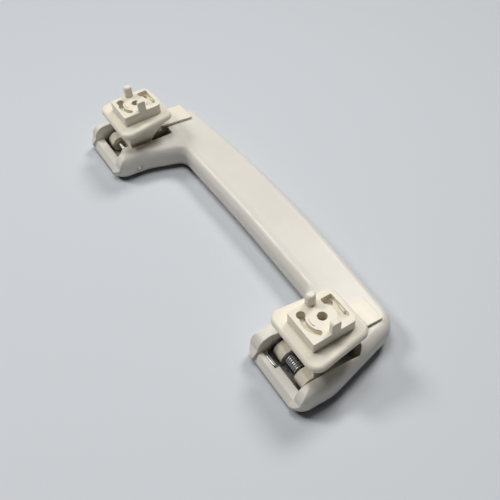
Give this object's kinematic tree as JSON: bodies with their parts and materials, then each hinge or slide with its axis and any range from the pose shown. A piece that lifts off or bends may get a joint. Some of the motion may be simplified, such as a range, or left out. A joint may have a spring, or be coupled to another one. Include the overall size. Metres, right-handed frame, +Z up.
{
  "type": "roof grab handle",
  "caption": "Folding car roof grab handle: a bowed moulded grip with hollow arms, each hinged on a steel pin to a bracket that plugs into the roof and takes a screw.",
  "frame": {"origin": "middle of the underside of the whole part, as it lies on the cabin face of its grip", "axes": "+X along the grip towards the sprung arm, +Y from the hinge line towards the grip, +Z up, from the cabin face of the grip towards the roof"},
  "size_m": [0.2488, 0.0795, 0.0463],
  "materials": {
    "handle": "satin",
    "bracket": "satin",
    "steel": "bright drawn",
    "spring_steel": "dark oiled"
  },
  "bodies": {
    "handle": {"handle_body": "handle", "front_hinge_pin": "steel", "rear_hinge_pin": "steel", "torsion_spring": "spring_steel"},
    "front_mount": {"front_bracket": "bracket"},
    "rear_mount": {"rear_bracket": "bracket"}
  },
  "joints": [
    {"name": "front_hinge", "type": "hinge", "parent": "handle", "child": "front_mount", "pos_m": [0.101, -0.02366, 0.007], "axis": [1, 0, 0], "range_deg": [0, 80], "stiffness_Nm_per_rad": 0.02, "springref_deg": -34.38, "deforming": ["torsion_spring"]},
    {"name": "rear_hinge", "type": "hinge", "parent": "handle", "child": "rear_mount", "pos_m": [-0.101, -0.02366, 0.007], "axis": [1, 0, 0], "range_deg": [0, 80]}
  ]
}
